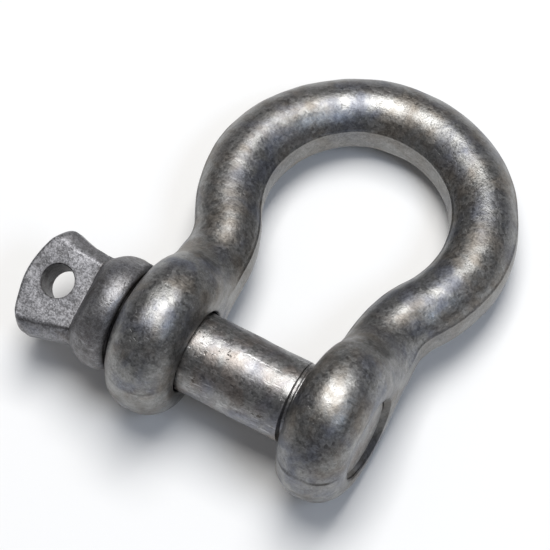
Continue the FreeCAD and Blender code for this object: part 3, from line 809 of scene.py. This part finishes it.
# ---------------------------------------------------------------- pieces
bow_zinc = galvanised(
    "galvanised_bow", zinc=(0.25, 0.25, 0.245), warm=(0.188, 0.167, 0.144), cool=(0.142, 0.151, 0.182),
    tarnish=0.8, speckle=0.88, rough=(0.31, 0.50), stain=0.30, pits=0.25, scratches=0.25, bump=0.15,
    dull="land", shade_mask="crevice", dull_zinc=(0.235, 0.23, 0.22), dull_rough=0.46, grain_contrast=0.5)
pin_zinc = galvanised(
    "galvanised_pin", zinc=(0.258, 0.258, 0.256), warm=(0.205, 0.176, 0.158), cool=(0.16, 0.168, 0.205),
    tarnish=0.75, speckle=0.85, rough=(0.28, 0.47), stain=0.35, pits=1.0, scratches=0.8, bump=0.12,
    handled="shank", dull="flats", shade_mask="crevice", dull_zinc=(0.246, 0.245, 0.258), dull_rough=0.56)
ring_zinc = galvanised(
    "galvanised_ring", zinc=(0.24, 0.24, 0.24), warm=(0.19, 0.16, 0.14), cool=(0.16, 0.16, 0.19),
    tarnish=0.7, speckle=0.5, rough=(0.34, 0.55), stain=0.5, pits=0.4, scratches=0.3, bump=0.08)

bow = make_bow_skin()
cut(bow, bore_tool("plain_tool", -1, plain_bore), bore_tool("tapped_tool", 1, tapped_bore))
finish_piece(bow, "bow", "bow", bow_zinc, bow_masks(stand_up(places(bow))))

pin = make_pin_skin()
cut(pin, eye_tool())
finish_piece(pin, "screw_pin", "pin", pin_zinc, pin_masks(stand_up(places(pin))))

ring = frame["nodes"]["shoulder_ring"]
ring.data.materials.clear()
ring.data.materials.append(ring_zinc)

# ---------------------------------------------------------------- floor, light and camera
FLOOR = -EAR_RADIUS * MM - 0.00002                   # just clear of the ears and the crown
LIGHT_AIM = Vector((-0.005, 0.0325, -0.002))
CAMERA_AIM = Vector((-0.00753, 0.02458, 0.0))
CAMERA_DISTANCE = 0.58529
CAMERA_AZIMUTH = math.radians(35.142)                # from -Y towards +X
CAMERA_ELEVATION = math.radians(65.287)
CAMERA_ROLL = math.radians(-6.259)


def plain(name, colour, roughness):
    """A plain studio surface."""
    material = bpy.data.materials.new(name)
    material.use_nodes = True
    shader = material.node_tree.nodes["Principled BSDF"]
    shader.inputs["Base Color"].default_value = (*colour, 1)
    shader.inputs["Roughness"].default_value = roughness
    return material


def make_floor():
    """A flat sheet that the shackle lies on."""
    mesh = bpy.data.meshes.new("floor")
    corners = [(x, y, FLOOR) for x, y in ((-4, -4), (4, -4), (4, 4), (-4, 4))]
    mesh.from_pydata(corners, [], [(0, 1, 2, 3)])
    mesh.materials.append(plain("floor", (0.86, 0.86, 0.86), 0.9))
    floor = bpy.data.objects.new("floor", mesh)
    bpy.context.scene.collection.objects.link(floor)


def soft_light(name, direction, distance, size, power, colour):
    """A rectangular lamp that looks at the shackle from a direction. size is its side along the pin and its
    side across it."""
    lamp = bpy.data.lights.new(name, "AREA")
    lamp.shape = "RECTANGLE"
    lamp.size, lamp.size_y = size
    lamp.energy = power
    lamp.color = colour
    holder = bpy.data.objects.new(name, lamp)
    bpy.context.scene.collection.objects.link(holder)
    out = Vector(direction).normalized()
    side = Vector((1, 0, 0)) - out * out.x
    side.normalize()
    up = out.cross(side)
    turn = Matrix((side, up, out)).transposed().to_4x4()
    holder.matrix_world = Matrix.Translation(LIGHT_AIM + out * distance) @ turn


def make_world(level):
    """An even pale surround."""
    world = bpy.data.worlds.new("studio")
    world.use_nodes = True
    background = world.node_tree.nodes["Background"]
    background.inputs["Color"].default_value = (*level, 1)
    background.inputs["Strength"].default_value = 1.0
    bpy.context.scene.world = world


def make_camera():
    """A long lens that looks at its aim from an azimuth and an elevation, rolled about its own axis."""
    camera = bpy.data.cameras.new("camera")
    camera.sensor_width = 36.0
    camera.lens = 171.14
    camera.clip_start, camera.clip_end = 0.05, 20
    holder = bpy.data.objects.new("camera", camera)
    bpy.context.scene.collection.objects.link(holder)
    level = Vector((math.cos(CAMERA_AZIMUTH), math.sin(CAMERA_AZIMUTH), 0))
    ahead = Vector((level.y, -level.x, 0))
    back = ahead * math.cos(CAMERA_ELEVATION) + Vector((0, 0, math.sin(CAMERA_ELEVATION)))
    right = level * math.cos(CAMERA_ROLL) + back.cross(level) * math.sin(CAMERA_ROLL)
    turn = Matrix((right, back.cross(right), back)).transposed().to_4x4()
    holder.matrix_world = Matrix.Translation(CAMERA_AIM + back * CAMERA_DISTANCE) @ turn
    bpy.context.scene.camera = holder


make_floor()
soft_light("key", (-0.06, 0.24, 1.0), 0.95, (0.42, 0.70), 9.4, (1.0, 0.99, 0.97))
soft_light("fill_right", (0.58, -0.10, 0.83), 1.0, (0.26, 0.36), 1.9, (0.70, 0.82, 1.0))
make_world((0.197, 0.197, 0.203))
make_camera()
bpy.context.scene.view_settings.view_transform = "Standard"
